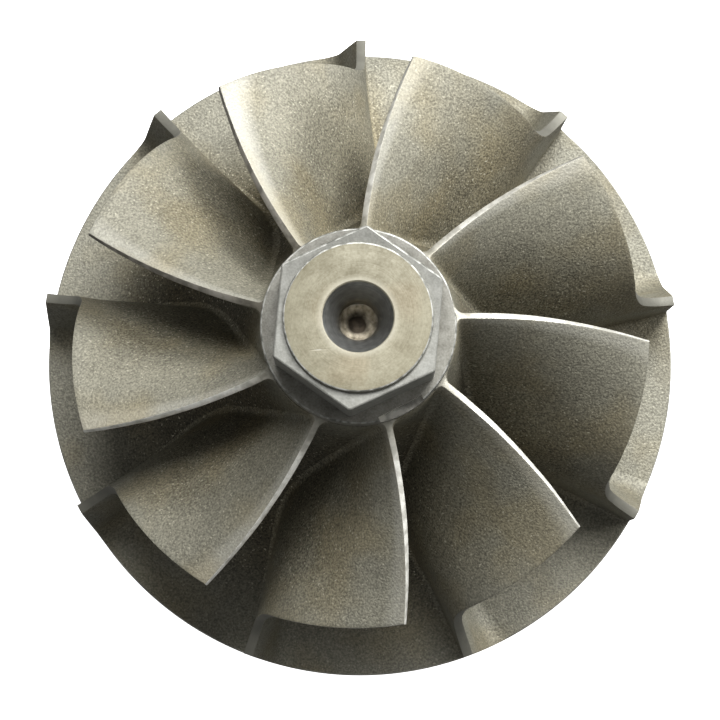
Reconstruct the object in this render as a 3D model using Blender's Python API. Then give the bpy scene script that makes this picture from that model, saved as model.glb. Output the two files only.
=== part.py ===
"""Turbine rotor: the wheel of a small turbocharger, one casting in nickel alloy.

The wheel stands on its weld boss with the nose up. The axis of rotation is Z, and the
origin is the middle of the boss's flat face. Heights called rise are measured up from
the front plane of the disc's rim. Lengths are metres and angles are radians.
"""

import math

import bmesh
import bpy

# Driving dimensions of the wheel
WHEEL_RADIUS = 0.0300
BLADE_COUNT = 9
BLADE_PITCH = 2 * math.pi / BLADE_COUNT
FIRST_LEADING_EDGE = math.radians(9.7)
SEAM_GAP = 0.00015
ROUND_STEPS = 72
NOSE_STEPS = 48

# Heights up the axis: the boss and rim from the floor, and the rises from the rim's front
BOSS_HEIGHT = 0.0050
RIM_THICKNESS = 0.0016
RIM_FRONT = 0.0080
HUB_RISE = 0.0285
COLLAR_RISE = 0.0305
HEX_RISE = 0.0366
LAND_RISE = 0.0371

# Radii of the turned and cast forms
DISC_SEAM_STATION = 6
DISC_EDGE_CHAMFER = 0.0002
DISC_BACK_HUB_RADIUS = 0.0097
DISC_BACK_BEND_RADIUS = 0.018
DISC_BACK_BEND_RISE = 0.0008
HUB_TOP_RADIUS = 0.0091
HUB_DRAWN_IN = 0.00048
DRAWN_IN_POWER = 8
BOSS_RADIUS = 0.0085
BOSS_CHAMFER = 0.0005
RECESS_RADIUS = 0.0032
RECESS_DEPTH = 0.0030
COLLAR_RADIUS = 0.00855
COLLAR_CHAMFER = 0.00015
HEX_CORNER_RADIUS = 0.0080
HEX_CORNER_ANGLE = math.radians(24.7)
LAND_RADIUS = 0.0064
LAND_CHAMFER = 0.00015

# Centre-drilled hole in the nose
HOLE_RADIUS = 0.00303
PILOT_RADIUS = 0.0017
CONE_DEPTH = 0.0023
PILOT_DEPTH = 0.0020
DRILL_POINT_DEPTH = 0.0010

# Shroud line: the turned outer edge of the blades, an arc from the rim and then straight up
INDUCER_RISE = 0.0075
SHROUD_ARC_RADIUS = 0.0074
EXDUCER_RADIUS = 0.02595
EXDUCER_RISE = 0.0220

# Blade camber: how far each tip turns and from where along it, and how its root leads it
TIP_WRAP = math.radians(29.4)
WRAP_START = 0.32
WRAP_START_SOFTNESS = 0.05
WRAP_EVEN_SHARE = 0.26
WRAP_POWER = 3.0
ROOT_LEAD_AT_LEADING_EDGE = math.radians(2.3)
ROOT_LEAD_AT_TRAILING_EDGE = math.radians(9.4)
LEAD_FALL_POWER = 3.0
LEAD_RISE_POWER = 2.5
LEAD_DIP = math.radians(7.0)
LEAD_DIP_SKEW = 1.15
LEAD_DIP_POWER = 4

# Blade thickness and root fillets
TIP_THICKNESS_AT_LEADING_EDGE = 0.0009
TIP_THICKNESS_AT_TRAILING_EDGE = 0.0006
ROOT_THICKNESS_AT_LEADING_EDGE = 0.0027
ROOT_THICKNESS_AT_TRAILING_EDGE = 0.0011
PRESSURE_FILLET_AT_LEADING_EDGE = 0.0016
PRESSURE_FILLET_AT_TRAILING_EDGE = 0.0007
SUCTION_FILLET = 0.0005

# How finely a blade is divided: stations along it, and rows up it, close together at the root
BLADE_STATIONS = 16
SQUARE_EDGE_START = 0.8
BLADE_ROWS = (0.0, 0.02, 0.06, 0.12, 0.25, 0.45, 0.65, 0.83, 1.0)

# Balance cut: a flat ground into the collar, low on the right of the nose
NOTCH_ANGLE = math.radians(-63)
NOTCH_LENGTH = 0.0042
NOTCH_DEPTH = 0.0007
NOTCH_HEIGHT = 0.0009
CUTTER_REACH = 0.0020

CAST_COLOUR = (0.33, 0.31, 0.26, 1.0)
TURNED_COLOUR = (0.52, 0.48, 0.36, 1.0)


def make_material(name, colour, roughness):
    material = bpy.data.materials.new(name)
    material.use_nodes = True
    shader = material.node_tree.nodes["Principled BSDF"]
    shader.inputs["Base Color"].default_value = colour
    shader.inputs["Roughness"].default_value = roughness
    shader.inputs["Metallic"].default_value = 1.0
    return material


def add_object(name, body, material):
    """Turns a bmesh into a smooth-shaded object."""
    mesh = bpy.data.meshes.new(name)
    body.to_mesh(mesh)
    body.free()
    mesh.shade_smooth()
    mesh.set_sharp_from_angle(angle=math.radians(30))
    if material:
        mesh.materials.append(material)
    part = bpy.data.objects.new(name, mesh)
    bpy.context.collection.objects.link(part)
    return part


def cut_away(part, cutter):
    """Cuts a hidden cutter out of a part, with a Boolean that stays on the part."""
    cutter.hide_render = True
    cutter.display_type = "WIRE"
    cut = part.modifiers.new(cutter.name, "BOOLEAN")
    cut.operation = "DIFFERENCE"
    cut.object = cutter


def turned(profile, steps=ROUND_STEPS, is_ring=False):
    """A bmesh turned round Z from (radius, height) points. A ring's profile is a closed loop,
    and any other starts and ends on the axis."""
    body = bmesh.new()
    verts = [body.verts.new((radius, 0.0, height)) for radius, height in profile]
    for start, end in zip(verts, verts[1:]):
        body.edges.new((start, end))
    if is_ring:
        body.edges.new((verts[-1], verts[0]))
    bmesh.ops.spin(
        body,
        geom=body.verts[:] + body.edges[:],
        axis=(0, 0, 1),
        cent=(0, 0, 0),
        angle=2 * math.pi,
        steps=steps,
        use_merge=True,
    )
    bmesh.ops.remove_doubles(body, verts=body.verts, dist=1e-7)
    bmesh.ops.recalc_face_normals(body, faces=body.faces)
    return body


def mixed(low, high, share):
    return low + (high - low) * share


def hub_point(along):
    """(radius, rise) on the flared front of the disc and hub: a quarter ellipse from the
    rim to the nose, drawn in at its top to meet the collar."""
    turn = along * math.pi / 2
    radius = WHEEL_RADIUS - (WHEEL_RADIUS - HUB_TOP_RADIUS) * math.sin(turn)
    radius -= HUB_DRAWN_IN * along**DRAWN_IN_POWER
    return radius, HUB_RISE * (1 - math.cos(turn))


def shroud_point(along):
    """(radius, rise) on the blades' outer edge: an arc from the rim, then straight up."""
    opening = math.acos(1 - (WHEEL_RADIUS - EXDUCER_RADIUS) / SHROUD_ARC_RADIUS)
    arc = SHROUD_ARC_RADIUS * opening
    arc_top = INDUCER_RISE + SHROUD_ARC_RADIUS * math.sin(opening)
    travel = along * (arc + EXDUCER_RISE - arc_top)
    if travel > arc:
        return EXDUCER_RADIUS, arc_top + travel - arc
    turn = opening - travel / SHROUD_ARC_RADIUS
    radius = EXDUCER_RADIUS + SHROUD_ARC_RADIUS * (1 - math.cos(turn))
    return radius, arc_top - SHROUD_ARC_RADIUS * math.sin(turn)


def past_wrap_start(along):
    """How far along is past the start of the wrap, with a soft start instead of a kink."""
    past = along - WRAP_START
    return (past + math.hypot(past, WRAP_START_SOFTNESS)) / 2


def tip_wrap(along):
    """How far the blade's tip has turned: nothing at first, then more and more."""
    share = past_wrap_start(along) / past_wrap_start(1)
    return TIP_WRAP * mixed(share**WRAP_POWER, share, WRAP_EVEN_SHARE)


def root_lead(along):
    """How far the blade's root is turned ahead of its tip. It leads at both edges and falls
    back between them."""
    lead = ROOT_LEAD_AT_LEADING_EDGE * max(1 - along, 0) ** LEAD_FALL_POWER
    lead += ROOT_LEAD_AT_TRAILING_EDGE * along**LEAD_RISE_POWER
    middle = min(max(along, 0), 1) ** LEAD_DIP_SKEW
    return lead - LEAD_DIP * math.sin(math.pi * middle) ** LEAD_DIP_POWER


def blade_place(along, span):
    """(radius, rise, angle) of the blade's middle surface. along runs from the leading to the
    trailing edge, and span from the root to the tip."""
    hub_radius, hub_rise = hub_point(along)
    tip_radius, tip_rise = shroud_point(along)
    angle = tip_wrap(along) + root_lead(along) * (1 - span)
    return mixed(hub_radius, tip_radius, span), mixed(hub_rise, tip_rise, span), angle


def passage_height(along):
    """The straight distance from the hub to the shroud line."""
    hub_radius, hub_rise = hub_point(along)
    tip_radius, tip_rise = shroud_point(along)
    return math.hypot(tip_radius - hub_radius, tip_rise - hub_rise)


def slopes(along, span):
    """How far the blade's surface moves along its circle for each metre along it and for each
    metre up it, and how long the surface is at that span."""
    step = 0.01
    here = blade_place(along, span)
    ahead = blade_place(along + step, span)
    above = blade_place(along, span + step)
    run_ahead = math.hypot(ahead[0] - here[0], ahead[1] - here[1])
    run_above = math.hypot(above[0] - here[0], above[1] - here[1])
    lean = here[0] * (ahead[2] - here[2]) / run_ahead
    rake = here[0] * (above[2] - here[2]) / run_above
    return lean, rake, run_ahead / step


def fillet_width(radius, distance):
    """How far a root fillet stands out from the blade at a distance above the hub."""
    if distance >= radius:
        return 0.0
    return radius - math.sqrt(radius**2 - (radius - distance) ** 2)


def blade_face(along, span, side):
    """(radius, rise, angle) on one face of the blade. side is 1 for the pressure face and
    -1 for the other. The trailing edge is cut square to the blade, so near it one face
    stops short and the other runs on."""
    root = mixed(ROOT_THICKNESS_AT_LEADING_EDGE, ROOT_THICKNESS_AT_TRAILING_EDGE, along)
    tip = mixed(TIP_THICKNESS_AT_LEADING_EDGE, TIP_THICKNESS_AT_TRAILING_EDGE, along)
    half = mixed(root, tip, span) / 2
    lean, rake, length = slopes(along, span)
    slant = math.sqrt(1 + lean**2 + rake**2)
    near_edge = max(along - SQUARE_EDGE_START, 0) / (1 - SQUARE_EDGE_START)
    along -= side * near_edge * half * lean / (slant * length)
    fillet = SUCTION_FILLET
    if side > 0:
        fillet = mixed(PRESSURE_FILLET_AT_LEADING_EDGE, PRESSURE_FILLET_AT_TRAILING_EDGE, along)
    half += fillet_width(fillet, span * passage_height(along))
    radius, rise, angle = blade_place(along, span)
    return radius, rise, angle + side * half * slant / radius


def make_blade(name, leading_edge, material):
    """One blade: a flat grid, extruded to a box, with every point then put on its face. Its
    normals are settled while it is a box. The root stops a seam gap above the hub."""
    rows = len(BLADE_ROWS) - 1
    body = bmesh.new()
    bmesh.ops.create_grid(body, x_segments=BLADE_STATIONS, y_segments=rows, size=0.5)
    extruded = bmesh.ops.extrude_face_region(body, geom=body.faces[:])
    pressure_side = [item for item in extruded["geom"] if isinstance(item, bmesh.types.BMVert)]
    bmesh.ops.translate(body, verts=pressure_side, vec=(0, 0, 1))
    bmesh.ops.recalc_face_normals(body, faces=body.faces)
    for vert in body.verts:
        along = vert.co.x + 0.5
        seam = SEAM_GAP / passage_height(along)
        span = mixed(seam, 1, BLADE_ROWS[round((vert.co.y + 0.5) * rows)])
        side = 1 if vert.co.z > 0.5 else -1
        radius, rise, angle = blade_face(along, span, side)
        angle += leading_edge
        vert.co = (radius * math.cos(angle), radius * math.sin(angle), RIM_FRONT + rise)
    return add_object(name, body, material)


def front_line(first, last):
    """Points up the flared front, at the stations that the blades' roots use too."""
    points = []
    for station in range(first, last + 1):
        radius, rise = hub_point(station / BLADE_STATIONS)
        points.append((radius, RIM_FRONT + rise))
    return points


def make_back_disc(material):
    """The full back plate, with the outer part of the flared front. The hub stands on its
    flat middle."""
    front = front_line(0, DISC_SEAM_STATION)
    back = RIM_FRONT - RIM_THICKNESS
    profile = [
        (0.0, BOSS_HEIGHT + SEAM_GAP),
        (DISC_BACK_HUB_RADIUS, BOSS_HEIGHT + SEAM_GAP),
        (DISC_BACK_BEND_RADIUS, BOSS_HEIGHT + DISC_BACK_BEND_RISE),
        (WHEEL_RADIUS - DISC_EDGE_CHAMFER, back),
        (WHEEL_RADIUS, back + DISC_EDGE_CHAMFER),
        *front,
        (0.0, front[-1][1]),
    ]
    return add_object("back_disc", turned(profile), material)


def make_hub(material):
    """The flared hub that rises from the disc to the nose."""
    front = front_line(DISC_SEAM_STATION, BLADE_STATIONS)
    foot_radius, foot = front[0][0] - SEAM_GAP, front[0][1] + SEAM_GAP
    profile = [
        (0.0, foot),
        (foot_radius, foot),
        *front[1:],
        (0.0, RIM_FRONT + HUB_RISE),
    ]
    return add_object("hub", turned(profile), material)


def make_weld_boss(material):
    """The round boss that the shaft is welded to, with a shallow recess in its face."""
    profile = [
        (0.0, RECESS_DEPTH),
        (RECESS_RADIUS, RECESS_DEPTH),
        (RECESS_RADIUS, 0.0),
        (BOSS_RADIUS - BOSS_CHAMFER, 0.0),
        (BOSS_RADIUS, BOSS_CHAMFER),
        (BOSS_RADIUS, BOSS_HEIGHT),
        (0.0, BOSS_HEIGHT),
    ]
    return add_object("weld_boss", turned(profile, NOSE_STEPS), material)


def make_nose_collar(material):
    """The round collar under the hexagon, with the balance cut ground into its rim."""
    foot = RIM_FRONT + HUB_RISE + SEAM_GAP
    top = RIM_FRONT + COLLAR_RISE
    profile = [
        (0.0, foot),
        (COLLAR_RADIUS, foot),
        (COLLAR_RADIUS, top - COLLAR_CHAMFER),
        (COLLAR_RADIUS - COLLAR_CHAMFER, top),
        (0.0, top),
    ]
    collar = add_object("nose_collar", turned(profile), material)
    cutter = bmesh.new()
    bmesh.ops.create_cube(cutter, size=1.0)
    for vert in cutter.verts:
        vert.co.x = COLLAR_RADIUS - NOTCH_DEPTH + (vert.co.x + 0.5) * CUTTER_REACH
        vert.co.y *= NOTCH_LENGTH
        vert.co.z = top - NOTCH_HEIGHT + (vert.co.z + 0.5) * CUTTER_REACH
    notch = add_object("balance_cutter", cutter, None)
    notch.rotation_euler.z = NOTCH_ANGLE
    cut_away(collar, notch)
    return collar


def make_hex_nose(material):
    """The hexagon that a spanner holds while the nut of the other wheel is tightened."""
    foot = RIM_FRONT + COLLAR_RISE + SEAM_GAP
    top = RIM_FRONT + HEX_RISE
    body = bmesh.new()
    bmesh.ops.create_cone(
        body,
        cap_ends=True,
        segments=6,
        radius1=HEX_CORNER_RADIUS,
        radius2=HEX_CORNER_RADIUS,
        depth=1.0,
    )
    for vert in body.verts:
        vert.co.z = mixed(foot, top, vert.co.z + 0.5)
    first_corner = max(body.verts, key=lambda vert: vert.co.x).co
    turn = HEX_CORNER_ANGLE - math.atan2(first_corner.y, first_corner.x)
    nose = add_object("hex_nose", body, material)
    nose.rotation_euler.z = turn
    above = top + CUTTER_REACH
    drill = [
        (0.0, top - CONE_DEPTH - PILOT_DEPTH - DRILL_POINT_DEPTH),
        (PILOT_RADIUS, top - CONE_DEPTH - PILOT_DEPTH),
        (PILOT_RADIUS, top - CONE_DEPTH),
        (HOLE_RADIUS, top),
        (HOLE_RADIUS, above),
        (0.0, above),
    ]
    cut_away(nose, add_object("centre_drill", turned(drill, NOSE_STEPS), None))
    return nose


def make_nose_land(material):
    """The turned round land on the hexagon, with the mouth of the centre hole."""
    foot = RIM_FRONT + HEX_RISE + SEAM_GAP
    top = RIM_FRONT + LAND_RISE
    profile = [
        (HOLE_RADIUS, foot),
        (LAND_RADIUS, foot),
        (LAND_RADIUS, top - LAND_CHAMFER),
        (LAND_RADIUS - LAND_CHAMFER, top),
        (HOLE_RADIUS, top),
    ]
    return add_object("nose_land", turned(profile, NOSE_STEPS, is_ring=True), material)


for old in list(bpy.data.objects):
    bpy.data.objects.remove(old)

cast = make_material("blasted casting", CAST_COLOUR, 0.55)
turned_face = make_material("turned face", TURNED_COLOUR, 0.4)

make_weld_boss(turned_face)
make_back_disc(cast)
make_hub(cast)
make_nose_collar(cast)
make_hex_nose(cast)
make_nose_land(turned_face)
for number in range(BLADE_COUNT):
    make_blade(f"blade_{number + 1}", FIRST_LEADING_EDGE + number * BLADE_PITCH, cast)
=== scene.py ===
"""Looks of the turbine rotor: the wheel of a small turbocharger, one casting in nickel alloy.

The pieces come in this order: the disc with its hub, the blades, the nose from its collar up,
and the boss on the back. Lengths are metres and angles are radians.
"""

import math

import bmesh
import bpy
from mathutils import Matrix, Vector, noise


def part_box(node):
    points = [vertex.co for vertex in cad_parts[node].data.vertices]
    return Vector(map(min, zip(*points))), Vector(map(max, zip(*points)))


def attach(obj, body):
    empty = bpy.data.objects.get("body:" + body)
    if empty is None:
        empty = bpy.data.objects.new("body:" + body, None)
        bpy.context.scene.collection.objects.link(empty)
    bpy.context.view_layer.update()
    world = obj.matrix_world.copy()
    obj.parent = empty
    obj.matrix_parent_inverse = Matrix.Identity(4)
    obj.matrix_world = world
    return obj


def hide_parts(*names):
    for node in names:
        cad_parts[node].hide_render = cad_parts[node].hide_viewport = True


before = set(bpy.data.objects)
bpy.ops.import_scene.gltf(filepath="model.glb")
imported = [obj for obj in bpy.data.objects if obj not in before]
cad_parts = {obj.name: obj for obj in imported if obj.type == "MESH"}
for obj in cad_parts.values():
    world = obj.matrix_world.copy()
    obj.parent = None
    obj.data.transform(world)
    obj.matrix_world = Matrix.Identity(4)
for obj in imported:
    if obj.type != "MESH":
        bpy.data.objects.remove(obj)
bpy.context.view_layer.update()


# The camera looks down on the nose from 300 mm above the rim. It stands 32 mm below the
# wheel's middle in the picture, and is turned by six degrees to bring the wheel back.
EYE = (0.00126, -0.03162, 0.30834)
TILT = math.radians(6.057)
PAN = math.radians(0.239)
FOCAL_LENGTH = 156.69

camera = bpy.data.objects.new("camera", bpy.data.cameras.new("camera"))
camera.location = EYE
camera.rotation_euler = (TILT, PAN, 0)
camera.data.sensor_width = 36
camera.data.lens = FOCAL_LENGTH
camera.data.clip_start = 0.01
bpy.context.collection.objects.link(camera)
bpy.context.scene.camera = camera


# The disc and hub: one investment casting in nickel alloy, blasted with fine grit. The flared
# front is a quarter ellipse from the rim to the nose, and the rim is turned to size.
RIM_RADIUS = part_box("back_disc")[1].x
HUB_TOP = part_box("hub")[1].z
HUB_RISE = 0.0285
RIM_FRONT = HUB_TOP - HUB_RISE
HUB_TOP_RADIUS = 0.0091
HUB_DRAWN_IN = 0.00048
DRAWN_IN_POWER = 8
BACK_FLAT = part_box("back_disc")[0].z
RIM_THICKNESS = 0.0016
RIM_BACK = RIM_FRONT - RIM_THICKNESS
BACK_BEND_RADIUS = 0.018
BACK_BEND_HEIGHT = 0.0058
BACK_FLAT_RADIUS = 0.0097
FRONT_STATIONS = 110
BACK_INNER_STATIONS = 8
BACK_OUTER_STATIONS = 12
DISC_STEPS = 256
RIM_BREAK = 0.00012
SHARP_ANGLE = math.radians(38)
DISC_RIPPLE = (0.00003, 0.003)
DISC_CAST_REACH = (0.0092, RIM_RADIUS - 0.0003)
RIM_WEAR = 0.0040
BLASTED_RELIEF = 0.00006
FINE_RELIEF = 0.00002
# Reaches of the painted light on the rim and the outlet edges; the passages inside them get painted shade.
RIM_REACH = (0.0190, 0.0260)
OUTLET_SLOPE = 0.375
OUTLET_REACH = (0.029, 0.0400)
# The band along the outlet edges that is made smoother and painted lighter: a painted sheen.
WORN_AND_SHEEN_EDGE_REACH = (0.0392, 0.0397)
# Where the edges near the nose, under the collar, get painted shade.
NEAR_NOSE_RADII = (0.0125, 0.0092)
BELOW_COLLAR_HEIGHTS = (0.0372, 0.0368)


class Wire:
    """One output of a shader node. Arithmetic on wires adds Math nodes to the material."""

    def __init__(self, tree, socket):
        self.tree = tree
        self.socket = socket

    def node(self, kind, settings, inputs, output=0):
        """Adds a node: its settings first, then the values or wires of its sockets."""
        made = self.tree.nodes.new("ShaderNode" + kind)
        for name, value in settings.items():
            setattr(made, name, value)
        for name, value in inputs.items():
            if isinstance(value, Wire):
                self.tree.links.new(value.socket, made.inputs[name])
            else:
                made.inputs[name].default_value = value
        return Wire(self.tree, made.outputs[output])

    def work_out(self, operation, first, second=0.0):
        """Adds a Math node for values or wires."""
        return self.node("Math", {"operation": operation}, {0: first, 1: second})

    def __add__(self, other):
        return self.work_out("ADD", self, other)

    def __radd__(self, other):
        return self.work_out("ADD", other, self)

    def __sub__(self, other):
        return self.work_out("SUBTRACT", self, other)

    def __rsub__(self, other):
        return self.work_out("SUBTRACT", other, self)

    def __mul__(self, other):
        return self.work_out("MULTIPLY", self, other)

    def __rmul__(self, other):
        return self.work_out("MULTIPLY", other, self)


def start_material(name, metallic):
    """A metal with its shader, and a wire that holds the object's own coordinates."""
    material = bpy.data.materials.new(name)
    material.use_nodes = True
    tree = material.node_tree
    shader = tree.nodes["Principled BSDF"]
    shader.inputs["Metallic"].default_value = metallic
    place = Wire(tree, None).node("TexCoord", {}, {}, "Object")
    return material, shader, place


def patches(place, size, detail=2.0):
    """A wire from 0 to 1 that wanders over patches of about the given size."""
    return place.node("TexNoise", {}, {"Vector": place, "Scale": 1 / size, "Detail": detail})


def between(value, low, high):
    """A wire that rises from 0 to 1 while the value goes from low to high."""
    return value.node("MapRange", {}, {"Value": value, "From Min": low, "From Max": high})


def blend(share, first, second):
    """A colour between two others. Sockets 6 and 7 and output 2 are the Mix node's colours."""
    return share.node("Mix", {"data_type": "RGBA"}, {0: share, 6: first, 7: second}, 2)


def tinted(share, colour, tint):
    """A colour that is multiplied by a tint where the share is 1."""
    settings = {"data_type": "RGBA", "blend_type": "MULTIPLY"}
    return share.node("Mix", settings, {0: share, 6: colour, 7: tint}, 2)


def from_axis(place):
    """A wire that holds the distance from the wheel's axis."""
    flat = place.node("VectorMath", {"operation": "MULTIPLY"}, {0: place, 1: (1, 1, 0)})
    return flat.node("VectorMath", {"operation": "LENGTH"}, {0: flat}, "Value")


def one_coordinate(place, axis):
    """A wire that holds one of the three coordinates."""
    return place.node("SeparateXYZ", {}, {"Vector": place}, axis)


def finish(material, shader, colour, roughness, relief, depth):
    """Links a metal's colour, its roughness and the height of its surface to its shader."""
    bump = relief.node("Bump", {}, {"Height": relief, "Distance": depth})
    for name, wire in (("Base Color", colour), ("Roughness", roughness), ("Normal", bump)):
        wire.tree.links.new(wire.socket, shader.inputs[name])
    return material


def blasted_metal(name, passage_shade_tint, edge_reach, edge_share):
    """A blasted casting: fine grain, dark pits between the grains, a few grains painted light as
    glints, and clouds of browner metal. The passages take the shade tint, a painted shade, and the
    rim and the outlet edges are left lighter, as painted light, with evener grain. A band along
    the outlet edges is smoother and painted lighter over its reach: a painted sheen."""
    material, shader, place = start_material(name, metallic=0.25)
    grain = patches(place, 0.00020)
    cloud = patches(place, 0.0045, 4.0)
    tone = between(grain * 0.8 + cloud * 0.2, 0.35, 0.65)
    colour = blend(tone, (0.104, 0.099, 0.078, 1), (0.356, 0.344, 0.276, 1))
    radius = from_axis(place)
    toward_outlet = one_coordinate(place, "Z") + OUTLET_SLOPE * radius
    outlet = between(toward_outlet, *OUTLET_REACH)
    rim = between(radius, *RIM_REACH)
    # Painted light: the rim and the outlet edges are left lighter, with evener grain, than the passages.
    struck_and_lit = outlet.work_out("MAXIMUM", outlet, rim)
    # Painted highlights: a few grains are painted light as glints, and made smoother.
    painted_glint = between(patches(place, 0.00022, 0.0), 0.735, 0.78) * (1 - struck_and_lit * 0.7)
    colour = blend(struck_and_lit * 0.45, colour, (0.235, 0.228, 0.188, 1))
    # Painted shade: the passages, away from the rim and the outlet edges, are darkened by the tint.
    colour = tinted(1 - struck_and_lit, colour, passage_shade_tint)
    # Painted sheen: a band along the outlet edges is painted lighter, and made smoother.
    rubbed_wear_and_sheen = between(toward_outlet, *edge_reach) * edge_share
    colour = blend(rubbed_wear_and_sheen, colour, (0.56, 0.55, 0.50, 1))
    colour = tinted(between(patches(place, 0.007), 0.45, 0.65), colour, (1.0, 0.95, 0.85, 1))
    colour = blend(painted_glint, colour, (0.58, 0.55, 0.44, 1))
    rough = 0.55 + 0.10 * (1 - tone) - 0.20 * painted_glint - 0.15 * rubbed_wear_and_sheen
    return finish(material, shader, colour, rough, grain, BLASTED_RELIEF)


def worn_metal(name, light, dark, roughness, patch):
    """An edge rubbed bright, in dashes, where the wheel is held and knocked. Where the blades meet
    the nose, under the collar, it is painted darker: painted shade."""
    material, shader, place = start_material(name, metallic=0.4)
    rubbed_wear_and_sheen = between(patches(place, patch, 3.0), 0.38, 0.58)
    grain = patches(place, 0.00015)
    colour = blend(rubbed_wear_and_sheen * 0.75 + grain * 0.25, dark, light)
    near_nose = between(from_axis(place), *NEAR_NOSE_RADII)
    below_collar = between(one_coordinate(place, "Z"), *BELOW_COLLAR_HEIGHTS)
    # Painted shade: the edges are darkened where the blades meet the nose under the collar.
    colour = tinted(near_nose * below_collar, colour, (0.55, 0.54, 0.50, 1))
    return finish(material, shader, colour, roughness + 0.1 * grain, grain, FINE_RELIEF)


def add_piece(name, body, slot_name, replaced, *materials):
    """Turns a closed bmesh into a piece that stands for CAD nodes and rides with the wheel."""
    mesh = bpy.data.meshes.new(name)
    body.to_mesh(mesh)
    body.free()
    mesh.shade_smooth()
    mesh.set_sharp_from_angle(angle=SHARP_ANGLE)
    piece = bpy.data.objects.new(name, mesh)
    bpy.context.collection.objects.link(piece)
    for material in materials:
        mesh.materials.append(material)
    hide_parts(*replaced)
    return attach(piece, "root")


def mixed(low, high, share):
    """The value that lies a share of the way from one value to another."""
    return low + (high - low) * share


def hub_point(along):
    """(radius, rise) on the flared front, from 0 at the rim to 1 at the nose."""
    turn = along * math.pi / 2
    radius = RIM_RADIUS - (RIM_RADIUS - HUB_TOP_RADIUS) * math.sin(turn)
    radius -= HUB_DRAWN_IN * along**DRAWN_IN_POWER
    return radius, HUB_RISE * (1 - math.cos(turn))


def turned(profile, steps, is_ring=False):
    """A closed bmesh turned round the axis from (radius, height) points."""
    body = bmesh.new()
    verts = [body.verts.new((radius, 0, height)) for radius, height in profile]
    for first, second in zip(verts, verts[1:]):
        body.edges.new((first, second))
    if is_ring:
        body.edges.new((verts[-1], verts[0]))
    bmesh.ops.spin(
        body,
        geom=body.verts[:] + body.edges[:],
        axis=(0, 0, 1),
        cent=(0, 0, 0),
        angle=2 * math.pi,
        steps=steps,
        use_merge=True,
    )
    bmesh.ops.remove_doubles(body, verts=body.verts, dist=1e-7)
    bmesh.ops.recalc_face_normals(body, faces=body.faces)
    return body


def ripple(body, depth, size, is_cast):
    """Makes the cast faces slightly uneven, as the wax and the mould leave them."""
    body.normal_update()
    moves = []
    for vert in body.verts:
        if is_cast(vert):
            moves.append((vert, vert.normal * (depth * noise.noise(vert.co / size))))
    for vert, move in moves:
        vert.co += move


front = []
for station in range(FRONT_STATIONS + 1):
    radius, rise = hub_point(station / FRONT_STATIONS)
    front.append((radius, RIM_FRONT + rise))
back = [(0, BACK_FLAT), (BACK_FLAT_RADIUS, BACK_FLAT)]
for station in range(1, BACK_INNER_STATIONS + 1):
    share = station / BACK_INNER_STATIONS
    height = mixed(BACK_FLAT, BACK_BEND_HEIGHT, share**2)
    back.append((mixed(BACK_FLAT_RADIUS, BACK_BEND_RADIUS, share), height))
for station in range(1, BACK_OUTER_STATIONS + 1):
    share = station / BACK_OUTER_STATIONS
    height = mixed(BACK_BEND_HEIGHT, RIM_BACK, share)
    back.append((mixed(BACK_BEND_RADIUS, RIM_RADIUS - RIM_BREAK, share), height))
rim = [
    (RIM_RADIUS, RIM_BACK + RIM_BREAK),
    (RIM_RADIUS, RIM_FRONT - RIM_BREAK),
    (RIM_RADIUS - RIM_BREAK, RIM_FRONT),
]
body = turned([*back, *rim, *front[1:], (0, HUB_TOP)], DISC_STEPS)
ripple(body, *DISC_RIPPLE, lambda vert: DISC_CAST_REACH[0] < vert.co.xy.length < DISC_CAST_REACH[1])
for face in body.faces:
    if face.calc_center_median().xy.length > RIM_RADIUS - RIM_BREAK:
        face.material_index = 1
# The floor between the blades gets strong painted shade in the passages.
floor_finish = blasted_metal("blasted floor", (0.58, 0.55, 0.485, 1), WORN_AND_SHEEN_EDGE_REACH, 0.0)
rim_finish = worn_metal("turned rim", (0.45, 0.44, 0.385, 1), (0.24, 0.235, 0.20, 1), 0.40, RIM_WEAR)
add_piece("disc_and_hub", body, "blasted_casting", ["back_disc", "hub"], floor_finish, rim_finish)


# The nine blades, cast with the disc. Each goes from radial at the rim to a strong lean at the
# nose. Their outer ends are turned to size with the rim, and fillets join them to the hub.
BLADE_COUNT = 9
BENT_BLADE = 6
# Blade 3's outlet band is smoother and painted lighter, a stronger painted sheen.
BURNISHED_SHEEN_BLADE = 3
# The outlet edges of blades 3 and 4 are painted darker, a painted shade, and those of 5 to 9 lighter, a
# painted highlight.
PAINTED_SHADE_EDGE_BLADES = (3, 4)
PAINTED_HIGHLIGHT_EDGE_BLADES = (5, 6, 7, 8, 9)
BURNISHED_SHEEN_REACH = (0.0387, 0.0396)
BEND = math.radians(-0.6)
FIRST_LEADING_EDGE = math.radians(9.7)
INDUCER_RISE = 0.0075
SHROUD_ARC_RADIUS = 0.0074
EXDUCER_RADIUS = 0.02595
EXDUCER_RISE = 0.0220
TIP_WRAP = math.radians(29.4)
WRAP_START = 0.32
WRAP_START_SOFTNESS = 0.05
WRAP_EVEN_SHARE = 0.26
WRAP_POWER = 3.0
ROOT_LEAD_AT_LEADING_EDGE = math.radians(2.3)
ROOT_LEAD_AT_TRAILING_EDGE = math.radians(9.4)
LEAD_FALL_POWER = 3.0
LEAD_RISE_POWER = 2.5
LEAD_DIP = math.radians(7.0)
LEAD_DIP_SKEW = 1.15
LEAD_DIP_POWER = 4
TIP_THICKNESS_AT_LEADING_EDGE = 0.0009
TIP_THICKNESS_AT_TRAILING_EDGE = 0.0006
ROOT_THICKNESS_AT_LEADING_EDGE = 0.0027
ROOT_THICKNESS_AT_TRAILING_EDGE = 0.0011
PRESSURE_FILLET_AT_LEADING_EDGE = 0.0016
PRESSURE_FILLET_AT_TRAILING_EDGE = 0.0007
SUCTION_FILLET = 0.0005
SQUARE_EDGE_START = 0.8
ROOT_SINK = 0.0002
BLADE_STATIONS = 72
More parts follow.
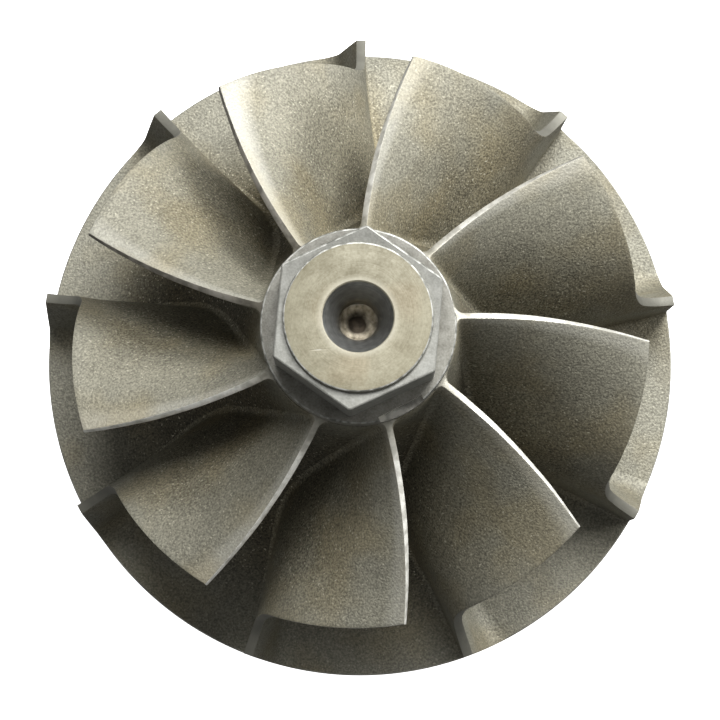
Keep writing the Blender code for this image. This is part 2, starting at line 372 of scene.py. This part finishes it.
FOOT_HEIGHTS = (0.0, 0.00004, 0.0001, 0.0002, 0.00034, 0.00055, 0.0008, 0.0011, 0.0015, 0.0019)
BLADE_ROWS = 44
EDGE_BREAK = 0.00005
EDGE_WEAR = 0.0010
BLADE_RIPPLE = (0.00004, 0.004)
BLADE_CAST_RADIUS = EXDUCER_RADIUS - 0.0004
BOX_EDGE = 0.4999
TAPER_START = 0.976
TAPER_STEPS = 6
TAPER_POWER = 1.6
KEPT_AT_EDGE = 0.93
KEPT_AT_ROOT_BACK = 0.15
KEPT_AT_TIP_BACK = 0.85


def shroud_point(along):
    """(radius, rise) on the blades' outer edge: an arc from the rim, then straight up."""
    opening = math.acos(1 - (RIM_RADIUS - EXDUCER_RADIUS) / SHROUD_ARC_RADIUS)
    arc = SHROUD_ARC_RADIUS * opening
    arc_top = INDUCER_RISE + SHROUD_ARC_RADIUS * math.sin(opening)
    travel = along * (arc + EXDUCER_RISE - arc_top)
    if travel > arc:
        return EXDUCER_RADIUS, arc_top + travel - arc
    turn = opening - travel / SHROUD_ARC_RADIUS
    radius = EXDUCER_RADIUS + SHROUD_ARC_RADIUS * (1 - math.cos(turn))
    return radius, arc_top - SHROUD_ARC_RADIUS * math.sin(turn)


def past_wrap_start(along):
    """How far along is past the start of the wrap, with a soft start instead of a kink."""
    past = along - WRAP_START
    return (past + math.hypot(past, WRAP_START_SOFTNESS)) / 2


def tip_wrap(along):
    """How far the blade's tip has turned from the leading edge."""
    wrapped = past_wrap_start(along) / past_wrap_start(1)
    return TIP_WRAP * mixed(wrapped**WRAP_POWER, wrapped, WRAP_EVEN_SHARE)


def root_lead(along):
    """How far the blade's root is turned ahead of its tip. It leads at both edges and falls
    back between them."""
    lead = ROOT_LEAD_AT_LEADING_EDGE * max(1 - along, 0) ** LEAD_FALL_POWER
    lead += ROOT_LEAD_AT_TRAILING_EDGE * along**LEAD_RISE_POWER
    middle = min(max(along, 0), 1) ** LEAD_DIP_SKEW
    return lead - LEAD_DIP * math.sin(math.pi * middle) ** LEAD_DIP_POWER


def blade_place(along, span):
    """(radius, rise, angle) of the blade's middle surface. along runs from the leading to the
    trailing edge, and span from the root to the tip."""
    hub_radius, hub_rise = hub_point(along)
    tip_radius, tip_rise = shroud_point(along)
    angle = tip_wrap(along) + root_lead(along) * (1 - span)
    return mixed(hub_radius, tip_radius, span), mixed(hub_rise, tip_rise, span), angle


def passage_height(along):
    """The straight distance from the hub to the shroud line."""
    hub_radius, hub_rise = hub_point(along)
    tip_radius, tip_rise = shroud_point(along)
    return math.hypot(tip_radius - hub_radius, tip_rise - hub_rise)


def slopes(along, span):
    """How far the blade's surface moves along its circle for each metre along it and for each
    metre up it, and how long the surface is at that span."""
    step = 0.01
    here = blade_place(along, span)
    ahead = blade_place(along + step, span)
    above = blade_place(along, span + step)
    run_ahead = math.hypot(ahead[0] - here[0], ahead[1] - here[1])
    run_above = math.hypot(above[0] - here[0], above[1] - here[1])
    lean = here[0] * (ahead[2] - here[2]) / run_ahead
    rake = here[0] * (above[2] - here[2]) / run_above
    return lean, rake, run_ahead / step


def fillet_width(radius, height):
    """How far a root fillet stands out from the blade at a height above the hub."""
    if height >= radius:
        return 0.0
    return radius - math.sqrt(radius**2 - (radius - height) ** 2)


def edge_taper(along, span, side):
    """The share of its half thickness that the blade keeps this close to its trailing edge. The
    face that shows from the nose is drawn in a little, and the one behind it most at the root."""
    kept = mixed(KEPT_AT_ROOT_BACK, KEPT_AT_TIP_BACK, span) if side > 0 else KEPT_AT_EDGE
    closeness = max(along - TAPER_START, 0) / (1 - TAPER_START)
    return mixed(1, kept, closeness**TAPER_POWER)


def blade_face(along, height, side):
    """A point on one face of the blade, at a height above the hub. side is 1 for the pressure
    face and -1 for the other. The trailing edge is cut square to the blade."""
    span = height / passage_height(along)
    root = mixed(ROOT_THICKNESS_AT_LEADING_EDGE, ROOT_THICKNESS_AT_TRAILING_EDGE, along)
    tip = mixed(TIP_THICKNESS_AT_LEADING_EDGE, TIP_THICKNESS_AT_TRAILING_EDGE, along)
    half = mixed(root, tip, span) / 2 * edge_taper(along, span, side)
    lean, rake, length = slopes(along, span)
    slant = math.sqrt(1 + lean**2 + rake**2)
    near_edge = max(along - SQUARE_EDGE_START, 0) / (1 - SQUARE_EDGE_START)
    along -= side * near_edge * half * lean / (slant * length)
    fillet = SUCTION_FILLET
    if side > 0:
        fillet = mixed(PRESSURE_FILLET_AT_LEADING_EDGE, PRESSURE_FILLET_AT_TRAILING_EDGE, along)
    half += fillet_width(fillet, height)
    radius, rise, angle = blade_place(along, span)
    return radius, rise, angle + side * half * slant / radius


def sink_into_hub(radius, rise, along):
    """Moves a root point into the casting, square to the flared front."""
    turn = along * math.pi / 2
    inward = Vector((-HUB_RISE * math.sin(turn), -(RIM_RADIUS - HUB_TOP_RADIUS) * math.cos(turn)))
    inward.normalize()
    return radius + ROOT_SINK * inward.x, rise + ROOT_SINK * inward.y


def blade_stations():
    """Places along the blade, close together where its trailing edge is tapered."""
    even = [TAPER_START * station / BLADE_STATIONS for station in range(BLADE_STATIONS + 1)]
    return even + [mixed(TAPER_START, 1, (step + 1) / TAPER_STEPS) for step in range(TAPER_STEPS)]


def blade_height(row, along):
    """The height above the hub of one row of the blade, close together in the root fillet."""
    if row < len(FOOT_HEIGHTS):
        return FOOT_HEIGHTS[row]
    share = (row - len(FOOT_HEIGHTS) + 1) / (BLADE_ROWS - len(FOOT_HEIGHTS) + 1)
    return mixed(FOOT_HEIGHTS[-1], passage_height(along), share)


def is_outer_edge(edge):
    """True for an edge of the flat box between one of its broad faces and its front, tip or
    back."""
    upright = [face for face in edge.link_faces if abs(face.normal.z) < 0.5]
    return len(upright) == 1 and max(vert.co.y for vert in edge.verts) > -BOX_EDGE


def blade_body(leading_edge):
    """One blade: a flat grid, extruded to a box, with every point then put on its face. The
    lowest row lies inside the hub."""
    stations = blade_stations()
    columns = len(stations) - 1
    rows = BLADE_ROWS + 1
    body = bmesh.new()
    bmesh.ops.create_grid(body, x_segments=columns, y_segments=rows, size=0.5)
    extruded = bmesh.ops.extrude_face_region(body, geom=body.faces[:])
    pressure_side = [item for item in extruded["geom"] if isinstance(item, bmesh.types.BMVert)]
    bmesh.ops.translate(body, verts=pressure_side, vec=(0, 0, 1))
    bmesh.ops.recalc_face_normals(body, faces=body.faces)
    for face in body.faces:
        middle = face.calc_center_median()
        if middle.x < -BOX_EDGE or middle.y > BOX_EDGE:
            face.material_index = 1
        if middle.x > BOX_EDGE:
            face.material_index = 2
        if middle.z > 0.5 + BOX_EDGE:
            face.material_index = 3
    outer_edges = [edge for edge in body.edges if is_outer_edge(edge)]
    for vert in body.verts:
        along = stations[round((vert.co.x + 0.5) * columns)]
        row = round((vert.co.y + 0.5) * rows) - 1
        side = 1 if vert.co.z > 0.5 else -1
        radius, rise, angle = blade_face(along, blade_height(max(row, 0), along), side)
        if row < 0:
            radius, rise = sink_into_hub(radius, rise, along)
        angle += leading_edge
        vert.co = (radius * math.cos(angle), radius * math.sin(angle), RIM_FRONT + rise)
    ripple(body, *BLADE_RIPPLE, lambda vert: vert.co.xy.length < BLADE_CAST_RADIUS)
    bmesh.ops.bevel(
        body,
        geom=outer_edges,
        offset=EDGE_BREAK,
        affect="EDGES",
        segments=2,
        profile=0.5,
        material=-1,
        clamp_overlap=True,
    )
    return body


# Painted shade for the blade faces in the passages: a slight brown darkening.
PASSAGE_SHADE_TINT = (1.0, 0.965, 0.89, 1)
cast_finish = blasted_metal("blasted blades", PASSAGE_SHADE_TINT, WORN_AND_SHEEN_EDGE_REACH, 0.25)
burnished_sheen_finish = blasted_metal("burnished blade, painted sheen", PASSAGE_SHADE_TINT, BURNISHED_SHEEN_REACH, 0.50)
# The pressure faces, behind the blades, get strong painted shade.
back_shade_finish = blasted_metal("backs, painted shade", (0.42, 0.40, 0.36, 1), WORN_AND_SHEEN_EDGE_REACH, 0.0)
edge_finish = worn_metal("worn edge", (0.60, 0.59, 0.54, 1), (0.34, 0.33, 0.29, 1), 0.42, EDGE_WEAR)
# Worn edges painted lighter, a painted highlight, and darker, a painted shade, for chosen blades.
worn_edge_painted_highlight = worn_metal("worn edge, painted highlight", (0.85, 0.84, 0.78, 1), (0.50, 0.49, 0.44, 1), 0.42, EDGE_WEAR)
worn_edge_painted_shade = worn_metal("worn edge, painted shade", (0.36, 0.34, 0.30, 1), (0.18, 0.17, 0.145, 1), 0.5, EDGE_WEAR)
tip_finish = worn_metal("turned edge", (0.25, 0.245, 0.21, 1), (0.17, 0.166, 0.142, 1), 0.48, RIM_WEAR)
for number in range(1, BLADE_COUNT + 1):
    leading_edge = FIRST_LEADING_EDGE + (number - 1) * 2 * math.pi / BLADE_COUNT
    if number == BENT_BLADE:
        leading_edge += BEND
    body = blade_body(leading_edge)
    outlet_finish = edge_finish
    if number in PAINTED_SHADE_EDGE_BLADES:
        outlet_finish = worn_edge_painted_shade
    elif number in PAINTED_HIGHLIGHT_EDGE_BLADES:
        outlet_finish = worn_edge_painted_highlight
    finishes = [cast_finish, tip_finish, outlet_finish, back_shade_finish]
    # Blade 3 gets the stronger painted sheen along its outlet edge.
    if number == BURNISHED_SHEEN_BLADE:
        finishes[0] = burnished_sheen_finish
    add_piece(f"cast_blade_{number}", body, "blasted_casting", [f"blade_{number}"], *finishes)


# The round collar under the hexagon, cast with the wheel and cleaned up on a lathe. Its right
# side is a little flat, and a step is ground into its rim, low on the right, where the wheel
# was balanced.
COLLAR_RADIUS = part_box("nose_collar")[1].x
COLLAR_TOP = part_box("nose_collar")[1].z
COLLAR_BREAK = 0.00016
BREAK_BULGE = 0.3
COLLAR_FOOT = 0.0004
COLLAR_BAND = 0.0008
NOSE_STEPS = 192
NOTCH_ANGLE = math.radians(-63)
NOTCH_LENGTH = 0.0042
NOTCH_DEPTH = 0.0007
NOTCH_HEIGHT = 0.0009
FLAT_SIDE_ANGLE = math.radians(14.5)
FLAT_SIDE_HALF_WIDTH = math.radians(9.5)
# The painted shade on the nose casting grows across this reach towards its upper side.
NOSE_SHADE_REACH = (-0.0010, 0.0070)
NOSE_EDGE_WEAR = 0.0007
NOTCH_WEAR = 0.0008


def cut_out(piece, cutter):
    """Cuts one closed mesh out of a piece and leaves neither cutter nor modifier behind."""
    trim = piece.modifiers.new("cut", "BOOLEAN")
    trim.operation = "DIFFERENCE"
    trim.solver = "EXACT"
    trim.material_mode = "TRANSFER"
    trim.object = cutter
    finished = piece.evaluated_get(bpy.context.evaluated_depsgraph_get())
    cut = bpy.data.meshes.new_from_object(finished)
    piece.modifiers.clear()
    piece.data = cut
    cut.set_sharp_from_angle(angle=SHARP_ANGLE)
    bpy.data.objects.remove(cutter)


def add_cutter(body, material):
    """An object that holds the shape of a cut and the finish of its walls."""
    mesh = bpy.data.meshes.new("cutter")
    body.to_mesh(mesh)
    body.free()
    mesh.materials.append(material)
    cutter = bpy.data.objects.new("cutter", mesh)
    bpy.context.collection.objects.link(cutter)
    return cutter


def smoothed_metal(name, light, dark, roughness):
    """A casting rubbed smooth by tools: fainter grain and short scuffs. Its upper side is painted
    darker, a painted shade, so its lower side is the lightest."""
    material, shader, place = start_material(name, metallic=0.1)
    grain = patches(place, 0.00018)
    scuff = patches(place, 0.0011, 5.0)
    tone = between(grain * 0.45 + scuff * 0.55, 0.32, 0.66)
    colour = blend(tone, dark, light)
    # Painted shade: the upper side is darkened.
    upper = between(one_coordinate(place, "Y"), *NOSE_SHADE_REACH)
    colour = tinted(upper, colour, (0.62, 0.62, 0.61, 1))
    rough = roughness + 0.12 * (1 - tone)
    return finish(material, shader, colour, rough, grain * 0.6 + scuff * 0.4, FINE_RELIEF)


profile = [
    (0, HUB_TOP - ROOT_SINK),
    (COLLAR_RADIUS, HUB_TOP - ROOT_SINK),
    (COLLAR_RADIUS, HUB_TOP + COLLAR_FOOT),
    (COLLAR_RADIUS, COLLAR_TOP - COLLAR_BAND),
    (COLLAR_RADIUS, COLLAR_TOP - COLLAR_BREAK),
    (COLLAR_RADIUS - COLLAR_BREAK * BREAK_BULGE, COLLAR_TOP - COLLAR_BREAK * BREAK_BULGE),
    (COLLAR_RADIUS - COLLAR_BREAK, COLLAR_TOP),
    (COLLAR_RADIUS - COLLAR_BAND, COLLAR_TOP),
    (0, COLLAR_TOP),
]

collar_finish = smoothed_metal("collar casting", (0.30, 0.295, 0.262, 1), (0.16, 0.153, 0.13, 1), 0.50)
bright, dark = (0.42, 0.42, 0.39, 1), (0.12, 0.12, 0.105, 1)
nose_edge_finish = worn_metal("worn nose edge", bright, dark, 0.45, NOSE_EDGE_WEAR)
body = turned(profile, NOSE_STEPS)
for face in body.faces:
    middle = face.calc_center_median()
    if middle.z > COLLAR_TOP - COLLAR_BREAK and middle.xy.length > COLLAR_RADIUS - COLLAR_BREAK:
        face.material_index = 1
outward = Vector((math.cos(FLAT_SIDE_ANGLE), math.sin(FLAT_SIDE_ANGLE), 0))
cut = bmesh.ops.bisect_plane(
    body,
    geom=body.verts[:] + body.edges[:] + body.faces[:],
    plane_co=outward * COLLAR_RADIUS * math.cos(FLAT_SIDE_HALF_WIDTH),
    plane_no=outward,
    clear_outer=True,
)
open_edges = [item for item in cut["geom_cut"] if isinstance(item, bmesh.types.BMEdge)]
bmesh.ops.edgeloop_fill(body, edges=open_edges)
bmesh.ops.recalc_face_normals(body, faces=body.faces)
collar_finishes = [collar_finish, nose_edge_finish]
collar = add_piece("ground_collar", body, "nose_casting", ["nose_collar"], *collar_finishes)
notch = bmesh.new()
bmesh.ops.create_cube(notch, size=1)
bmesh.ops.scale(notch, verts=notch.verts, vec=(2 * NOTCH_DEPTH, NOTCH_LENGTH, 2 * NOTCH_HEIGHT))
bmesh.ops.translate(notch, verts=notch.verts, vec=(COLLAR_RADIUS, 0, COLLAR_TOP))
bmesh.ops.rotate(notch, verts=notch.verts, cent=(0, 0, 0), matrix=Matrix.Rotation(NOTCH_ANGLE, 3, "Z"))
bright, dark = (0.60, 0.59, 0.54, 1), (0.30, 0.29, 0.26, 1)
ground_finish = worn_metal("ground notch", bright, dark, 0.45, NOTCH_WEAR)
cut_out(collar, add_cutter(notch, ground_finish))


# The hexagon that a spanner holds, cast on the nose. Its corners are slightly blunt, and its
# two upper edges are knocked bright. The middle is drilled for a lathe centre.
HEX_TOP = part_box("hex_nose")[1].z
HEX_CORNER_RADIUS = 0.0080
HEX_CORNER_ANGLE = math.radians(24.7)
HOLE_RADIUS = 0.00303
PILOT_RADIUS = 0.0017
CONE_DEPTH = 0.0023
PILOT_DEPTH = 0.0020
DRILL_POINT_DEPTH = 0.0010
KNOCKED_SIDE_ANGLE = math.radians(84.7)
CORNER_RISE = 0.001
CORNER_BREAK = 0.00024
TOP_EDGE_BREAK = 0.00018
TOP_EDGE_DEPTH = 0.0001
KNOCKED_DISTANCE = 0.003
DRILL_STEPS = 96
DRILL_START = 0.001
TINT_WANDER = 0.0006
BROWN_REACH = (PILOT_RADIUS + 0.0006, PILOT_RADIUS + 0.0001)
# Where the painted shade darkens the bottom of the pilot hole.
DRILL_BOTTOM_SHADE_REACH = (0.0015, 0.0010)
BROAD_FACE_AREA = 4e-6

nose_finish = smoothed_metal("nose casting", (0.30, 0.30, 0.275, 1), (0.19, 0.19, 0.17, 1), 0.46)
body = bmesh.new()
bmesh.ops.create_cone(
    body,
    cap_ends=True,
    segments=6,
    radius1=HEX_CORNER_RADIUS,
    radius2=HEX_CORNER_RADIUS,
    depth=HEX_TOP - COLLAR_TOP + ROOT_SINK,
)
first_corner = max(body.verts, key=lambda vert: vert.co.x).co
turn = HEX_CORNER_ANGLE - math.atan2(first_corner.y, first_corner.x)
bmesh.ops.rotate(body, verts=body.verts, cent=(0, 0, 0), matrix=Matrix.Rotation(turn, 3, "Z"))
bmesh.ops.translate(body, verts=body.verts, vec=(0, 0, (HEX_TOP + COLLAR_TOP - ROOT_SINK) / 2))
corners = [edge for edge in body.edges if abs(edge.verts[0].co.z - edge.verts[1].co.z) > CORNER_RISE]
bmesh.ops.bevel(
    body,
    geom=corners,
    offset=CORNER_BREAK,
    affect="EDGES",
    segments=3,
    profile=0.5,
    material=-1,
)
top_edges = [edge for edge in body.edges if min(v.co.z for v in edge.verts) > HEX_TOP - TOP_EDGE_DEPTH]
knocked = bmesh.ops.bevel(
    body,
    geom=top_edges,
    offset=TOP_EDGE_BREAK,
    affect="EDGES",
    segments=3,
    profile=0.5,
    material=-1,
)
upward = Vector((math.cos(KNOCKED_SIDE_ANGLE), math.sin(KNOCKED_SIDE_ANGLE), 0))
for face in knocked["faces"]:
    if face.calc_center_median().dot(upward) > KNOCKED_DISTANCE:
        face.material_index = 1
hexagon = add_piece("spanner_hexagon", body, "nose_casting", ["hex_nose"], nose_finish, nose_edge_finish)
drill = [
    (0, HEX_TOP - CONE_DEPTH - PILOT_DEPTH - DRILL_POINT_DEPTH),
    (PILOT_RADIUS, HEX_TOP - CONE_DEPTH - PILOT_DEPTH),
    (PILOT_RADIUS, HEX_TOP - CONE_DEPTH),
    (HOLE_RADIUS, HEX_TOP),
    (HOLE_RADIUS, HEX_TOP + DRILL_START),
    (0, HEX_TOP + DRILL_START),
]


def drilled_metal(name):
    """The wall of the centre hole: dark, with a brown heat tint round the pilot hole, and painted
    shade that darkens its bottom to black."""
    material, shader, place = start_material(name, metallic=0.8)
    radius = from_axis(place)
    lines = patches(radius.node("CombineXYZ", {}, {"X": radius}), 0.00012)
    speck = patches(place, 0.0005, 4.0)
    colour = blend(lines * 0.4 + speck * 0.6, (0.10, 0.102, 0.10, 1), (0.46, 0.465, 0.45, 1))
    brown = blend(between(speck, 0.25, 0.75), (0.13, 0.11, 0.08, 1), (0.55, 0.50, 0.40, 1))
    wander = radius + TINT_WANDER * patches(place, 0.0012)
    colour = blend(between(wander, *BROWN_REACH), colour, brown)
    # Painted shade: the bottom of the pilot hole is darkened to black.
    colour = tinted(between(wander, *DRILL_BOTTOM_SHADE_REACH), colour, (0.08, 0.07, 0.06, 1))
    return finish(material, shader, colour, 0.34 + 0.2 * speck, lines * 0.6 + speck * 0.4, FINE_RELIEF)


cut_out(hexagon, add_cutter(turned(drill, DRILL_STEPS), drilled_metal("drilled hole")))
for polygon in hexagon.data.polygons:
    if polygon.area > BROAD_FACE_AREA:
        polygon.use_smooth = False


# The land: a round face turned on the end of the hexagon, with a small bevel. Heat has tinted
# it yellow. The wheel was handled since, so it has a scratch and a nick in its edge.
LAND_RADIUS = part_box("nose_land")[1].x
LAND_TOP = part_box("nose_land")[1].z
LAND_SINK = 0.00002
# The painted shade on the land grows across this reach towards its upper side.
LAND_SHADE_REACH = (-0.0065, 0.0065)
LAND_BREAK = 0.00015
MOUTH_BREAK = 0.00010
LIP_SHEEN_REACH = (HOLE_RADIUS + 0.0006, HOLE_RADIUS + 0.0001)
FACED_RELIEF = 0.00001
SCRATCH_START = (-0.0042, -0.0039)
SCRATCH_END = (-0.0021, -0.0029)
SCRATCH_Y = -0.00264
SCRATCH_SLOPE = 0.05
SCRATCH_EDGE = (0.00007, 0.00003)

profile = [
    (HOLE_RADIUS, HEX_TOP - LAND_SINK),
    (LAND_RADIUS, HEX_TOP - LAND_SINK),
    (LAND_RADIUS, LAND_TOP - LAND_BREAK),
    (LAND_RADIUS - LAND_BREAK * BREAK_BULGE, LAND_TOP - LAND_BREAK * BREAK_BULGE),
    (LAND_RADIUS - LAND_BREAK, LAND_TOP),
    (HOLE_RADIUS + MOUTH_BREAK, LAND_TOP),
    (HOLE_RADIUS, LAND_TOP - MOUTH_BREAK),
]


def faced_metal(name):
    """A faced end with a straw heat tint that wanders to brown and rose, faint turning marks,
    a smoother lip at the hole that is painted brighter as a painted highlight, and one scratch.
    Its upper side is painted darker: painted shade."""
    material, shader, place = start_material(name, metallic=0.1)
    radius = from_axis(place)
    lines = patches(radius.node("CombineXYZ", {}, {"X": radius}), 0.00016)
    blotch = patches(place, 0.0016, 5.0)
    speck = patches(place, 0.0002)
    tone = between(lines * 0.22 + blotch * 0.45 + speck * 0.33, 0.36, 0.64)
    colour = blend(tone, (0.235, 0.214, 0.150, 1), (0.37, 0.35, 0.268, 1))
    rose = between(patches(place, 0.0042, 1.0), 0.50, 0.66)
    colour = tinted(rose * 0.5, colour, (1.0, 0.91, 0.84, 1))
    # Painted shade: the upper side of the land is darkened.
    upper = between(one_coordinate(place, "Y"), *LAND_SHADE_REACH)
    colour = tinted(upper, colour, (0.52, 0.51, 0.45, 1))
    # A smoother lip at the hole, also painted lighter: a painted highlight.
    smooth_lip_and_sheen = between(radius, *LIP_SHEEN_REACH)
    colour = blend(smooth_lip_and_sheen * 0.40, colour, (0.50, 0.48, 0.40, 1))
    across = one_coordinate(place, "Y") - SCRATCH_SLOPE * one_coordinate(place, "X")
    scratch = between(across.work_out("ABSOLUTE", across - SCRATCH_Y), *SCRATCH_EDGE)
    scratch = scratch * between(one_coordinate(place, "X"), *SCRATCH_START)
    scratch = scratch * between(one_coordinate(place, "X"), *SCRATCH_END)
    broken = between(patches(place, 0.0006), 0.38, 0.55)
    colour = blend(scratch * broken * 0.6, colour, (0.50, 0.48, 0.42, 1))
    rough = 0.44 + 0.15 * (1 - tone) - 0.1 * smooth_lip_and_sheen
    return finish(material, shader, colour, rough, lines * 0.6 + speck * 0.4 - scratch, FACED_RELIEF)


body = turned(profile, NOSE_STEPS, is_ring=True)
for face in body.faces:
    middle = face.calc_center_median()
    if middle.xy.length > LAND_RADIUS - LAND_BREAK and middle.z > LAND_TOP - LAND_BREAK:
        face.material_index = 1
land_finish = faced_metal("tinted land")
add_piece("tinted_land", body, "turned_face", ["nose_land"], land_finish, nose_edge_finish)


# The boss on the back, which the shaft is welded to. It is turned, and a recess in its face
# keeps heat out of the shaft.
BOSS_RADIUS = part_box("weld_boss")[1].x
BOSS_BREAK = 0.0005
RECESS_RADIUS = 0.0032
RECESS_DEPTH = 0.0030
RECESS_BREAK = 0.0001
BOSS_STEPS = 160


def turned_metal(name, light, dark, roughness, line_width):
    """Metal turned on a lathe: fine lines round the axis, which a slow wander breaks up."""
    material, shader, place = start_material(name, metallic=0.4)
    travel = from_axis(place) + one_coordinate(place, "Z")
    groove = travel.node("CombineXYZ", {}, {"X": travel})
    lines = patches(groove, line_width)
    wear = patches(place, 0.0022, 5.0)
    speck = patches(place, 0.0003)
    tone = between(lines * 0.4 + wear * 0.35 + speck * 0.25, 0.35, 0.65)
    colour = blend(tone, dark, light)
    rough = roughness + 0.12 * (1 - tone)
    return finish(material, shader, colour, rough, lines * 0.7 + speck * 0.3, FINE_RELIEF)


profile = [
    (0, RECESS_DEPTH),
    (RECESS_RADIUS, RECESS_DEPTH),
    (RECESS_RADIUS, RECESS_BREAK),
    (RECESS_RADIUS + RECESS_BREAK, 0),
    (BOSS_RADIUS - BOSS_BREAK, 0),
    (BOSS_RADIUS, BOSS_BREAK),
    (BOSS_RADIUS, BACK_FLAT + ROOT_SINK),
    (0, BACK_FLAT + ROOT_SINK),
]
boss_finish = turned_metal("turned boss", (0.45, 0.44, 0.40, 1), (0.27, 0.26, 0.235, 1), 0.35, 0.00015)
add_piece("turned_boss", turned(profile, BOSS_STEPS), "turned_face", ["weld_boss"], boss_finish)


# The floor: a plain pale sheet, far wider than the wheel. It glows evenly, so that no shadow
# shows on it, and the wheel neither takes light from it nor reflects it.
FLOOR_RADIUS = 1.5

floor_body = bmesh.new()
bmesh.ops.create_circle(floor_body, cap_ends=True, segments=64, radius=FLOOR_RADIUS)
floor_mesh = bpy.data.meshes.new("floor")
floor_body.to_mesh(floor_mesh)
floor_body.free()
floor = bpy.data.objects.new("floor", floor_mesh)
bpy.context.collection.objects.link(floor)
sheet_finish = bpy.data.materials.new("pale floor")
sheet_finish.use_nodes = True
sheet_shader = sheet_finish.node_tree.nodes["Principled BSDF"]
sheet_shader.inputs["Base Color"].default_value = (0.9, 0.9, 0.9, 1)
sheet_shader.inputs["Roughness"].default_value = 0.8
sheet_shader.inputs["Emission Color"].default_value = (1, 1, 1, 1)
sheet_shader.inputs["Emission Strength"].default_value = 1.0
floor_mesh.materials.append(sheet_finish)
floor.visible_diffuse = False
floor.visible_glossy = False


# Soft studio light: a large lamp at the upper right, one high above the wheel, a weaker one low
# on the right, and a pale room.
LAMP_DISTANCE = 0.6
LAMP_SIZE = 0.22


def soft_lamp(name, azimuth, elevation, power):
    """A square area lamp that shines at the wheel from a direction in degrees."""
    lamp = bpy.data.objects.new(name, bpy.data.lights.new(name, "AREA"))
    lamp.data.size = LAMP_SIZE
    lamp.data.energy = power
    turn, climb = math.radians(azimuth), math.radians(elevation)
    away = Vector((math.cos(turn) * math.cos(climb), math.sin(turn) * math.cos(climb), math.sin(climb)))
    lamp.location = away * LAMP_DISTANCE
    lamp.rotation_euler = away.to_track_quat("Z", "Y").to_euler()
    bpy.context.collection.objects.link(lamp)


soft_lamp("key lamp", azimuth=60, elevation=45, power=3.3)
soft_lamp("high lamp", azimuth=90, elevation=65, power=2.4)
soft_lamp("low lamp", azimuth=20, elevation=20, power=1.6)
room = bpy.data.worlds.new("pale room")
room.use_nodes = True
room.node_tree.nodes["Background"].inputs["Color"].default_value = (1, 1, 1, 1)
room.node_tree.nodes["Background"].inputs["Strength"].default_value = 0.22
bpy.context.scene.world = room
bpy.context.scene.view_settings.view_transform = "Standard"
bpy.context.scene.view_settings.look = "Medium High Contrast"
